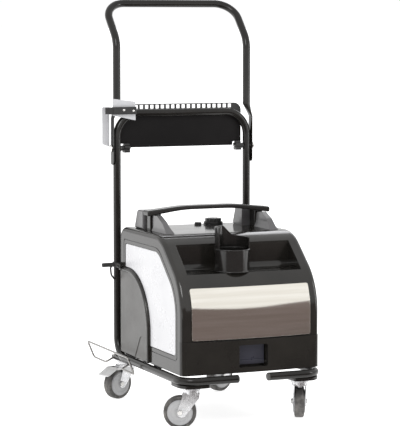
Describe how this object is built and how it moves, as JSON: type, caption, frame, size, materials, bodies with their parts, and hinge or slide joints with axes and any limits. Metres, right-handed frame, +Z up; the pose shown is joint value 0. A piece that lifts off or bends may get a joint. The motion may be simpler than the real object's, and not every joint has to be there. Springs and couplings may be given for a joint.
{
  "type": "carpet cleaner",
  "caption": "Upright steam and vacuum carpet cleaner strapped on a tubular push trolley with a folding handle, swivel casters, tool rack, tray and cup.",
  "frame": {"origin": "centre of the footprint at floor level", "axes": "+Z up, the machine faces -Y, its left side is towards -X"},
  "size_m": [0.4274, 0.5984, 1.038],
  "materials": {
    "black_tube": "gloss powder coat",
    "cap_plastic": "moulded",
    "rubber_pad": "matte",
    "comb_plastic": "moulded",
    "light_sheet": "satin",
    "zinc_screw": "bright",
    "bright_wire": "bright",
    "caster_steel": "bright",
    "pedal_metal": "satin",
    "wheel_plastic": "moulded",
    "tyre_rubber": "matte",
    "gloss_black": "gloss",
    "cover_grey": "satin",
    "steel_sheet": "polished",
    "door_bluegrey": "satin",
    "insert_white": "gloss",
    "arch_grey": "moulded",
    "case_dark": "moulded",
    "boiler_steel": "plain",
    "tank_plastic": "moulded",
    "motor_metal": "cast"
  },
  "bodies": {
    "trolley": {"lower_frame_tube": "black_tube", "frame_end_caps": "cap_plastic", "wire_cradle": "bright_wire", "caster_mount_plates": "black_tube", "body_rest_bars": "black_tube", "rest_pads": "rubber_pad", "rack_panel": "black_tube", "tool_comb": "comb_plastic", "lance_bracket": "light_sheet", "bracket_clamp": "comb_plastic", "rack_screws": "zinc_screw", "strap_handle": "rubber_pad", "rubber_strap": "rubber_pad", "pivot_bolts": "zinc_screw", "caster_plates": "caster_steel", "caster_bolts": "zinc_screw", "body_shell": "gloss_black", "steel_front_panel": "steel_sheet", "front_cover": "cover_grey", "drain_door_pin": "zinc_screw", "side_insert_left": "insert_white", "side_insert_right": "insert_white", "arch_cover_left": "arch_grey", "arch_cover_right": "arch_grey", "base_pan": "case_dark", "rear_cover": "case_dark", "cable_gland": "case_dark", "accessory_tray": "gloss_black", "cup_holder": "gloss_black", "carry_handle": "gloss_black", "handle_towers": "gloss_black", "boiler": "boiler_steel", "water_tank": "tank_plastic", "vacuum_motor": "motor_metal", "steam_pump": "motor_metal", "control_board": "case_dark"},
    "handle": {"handle_tube": "black_tube"},
    "knob_left": {"star_knob_left": "comb_plastic"},
    "knob_right": {"star_knob_right": "comb_plastic"},
    "drain_flap": {"drain_door": "door_bluegrey"},
    "dial": {"dial_knob": "cover_grey"},
    "button": {"push_button": "cover_grey"},
    "swivel_front_left": {"fork_front_left": "caster_steel", "axle_front_left": "caster_steel"},
    "wheel_body_front_left": {"wheel_front_left": "wheel_plastic", "tyre_front_left": "tyre_rubber"},
    "swivel_front_right": {"fork_front_right": "caster_steel", "axle_front_right": "caster_steel"},
    "wheel_body_front_right": {"wheel_front_right": "wheel_plastic", "tyre_front_right": "tyre_rubber"},
    "swivel_rear_left": {"fork_rear_left": "caster_steel", "axle_rear_left": "caster_steel"},
    "wheel_body_rear_left": {"wheel_rear_left": "wheel_plastic", "tyre_rear_left": "tyre_rubber"},
    "pedal_rear_left": {"brake_pedal_rear_left": "pedal_metal"},
    "swivel_rear_right": {"fork_rear_right": "caster_steel", "axle_rear_right": "caster_steel"},
    "wheel_body_rear_right": {"wheel_rear_right": "wheel_plastic", "tyre_rear_right": "tyre_rubber"},
    "pedal_rear_right": {"brake_pedal_rear_right": "pedal_metal"}
  },
  "joints": [
    {"name": "handle_fold", "type": "hinge", "parent": "trolley", "child": "handle", "pos_m": [0.01335, 0.15875, 0.656], "axis": [-1, 0, 0], "range_deg": [0, 160]},
    {"name": "knob_left_turn", "type": "hinge", "parent": "trolley", "child": "knob_left", "pos_m": [-0.14665, 0.15875, 0.656], "axis": [1, 0, 0], "range_deg": [0, 720]},
    {"name": "knob_right_turn", "type": "hinge", "parent": "trolley", "child": "knob_right", "pos_m": [0.17335, 0.15875, 0.656], "axis": [1, 0, 0], "range_deg": [0, 720]},
    {"name": "swivel_front_left", "type": "hinge", "parent": "trolley", "child": "swivel_front_left", "pos_m": [-0.13165, -0.24925, 0.093], "axis": [0, 0, 1], "continuous": true},
    {"name": "roll_front_left", "type": "hinge", "parent": "swivel_front_left", "child": "wheel_body_front_left", "pos_m": [-0.15742, -0.23831, 0.04], "axis": [-0.3907, -0.9205, 0], "continuous": true},
    {"name": "swivel_front_right", "type": "hinge", "parent": "trolley", "child": "swivel_front_right", "pos_m": [0.15835, -0.24925, 0.093], "axis": [0, 0, 1], "continuous": true},
    {"name": "roll_front_right", "type": "hinge", "parent": "swivel_front_right", "child": "wheel_body_front_right", "pos_m": [0.16929, -0.22348, 0.04], "axis": [-0.9205, 0.3907, 0], "continuous": true},
    {"name": "swivel_rear_left", "type": "hinge", "parent": "trolley", "child": "swivel_rear_left", "pos_m": [-0.13165, 0.20075, 0.093], "axis": [0, 0, 1], "continuous": true},
    {"name": "roll_rear_left", "type": "hinge", "parent": "swivel_rear_left", "child": "wheel_body_rear_left", "pos_m": [-0.15761, 0.19026, 0.04], "axis": [0.3746, -0.9272, 0], "continuous": true},
    {"name": "brake_rear_left", "type": "hinge", "parent": "swivel_rear_left", "child": "pedal_rear_left", "pos_m": [-0.12516, 0.20337, 0.071], "axis": [0.3746, -0.9272, 0], "range_deg": [0, 4.5]},
    {"name": "swivel_rear_right", "type": "hinge", "parent": "trolley", "child": "swivel_rear_right", "pos_m": [0.15835, 0.20075, 0.093], "axis": [0, 0, 1], "continuous": true},
    {"name": "roll_rear_right", "type": "hinge", "parent": "swivel_rear_right", "child": "wheel_body_rear_right", "pos_m": [0.13239, 0.19026, 0.04], "axis": [0.3746, -0.9272, 0], "continuous": true},
    {"name": "brake_rear_right", "type": "hinge", "parent": "swivel_rear_right", "child": "pedal_rear_right", "pos_m": [0.16484, 0.20337, 0.071], "axis": [0.3746, -0.9272, 0], "range_deg": [0, 4.5]},
    {"name": "drain_flap_hinge", "type": "hinge", "parent": "trolley", "child": "drain_flap", "pos_m": [0.01535, -0.27075, 0.155], "axis": [1, 0, 0], "range_deg": [0, 75]},
    {"name": "dial_turn", "type": "hinge", "parent": "trolley", "child": "dial", "pos_m": [0.07335, 0.09575, 0.458], "axis": [0, 0, -1], "range_deg": [0, 270]},
    {"name": "button_press", "type": "slide", "parent": "trolley", "child": "button", "axis": [0, 0, -1], "range_m": [0, 0.0025], "stiffness_N_per_m": 400, "springref_m": -0.001}
  ]
}
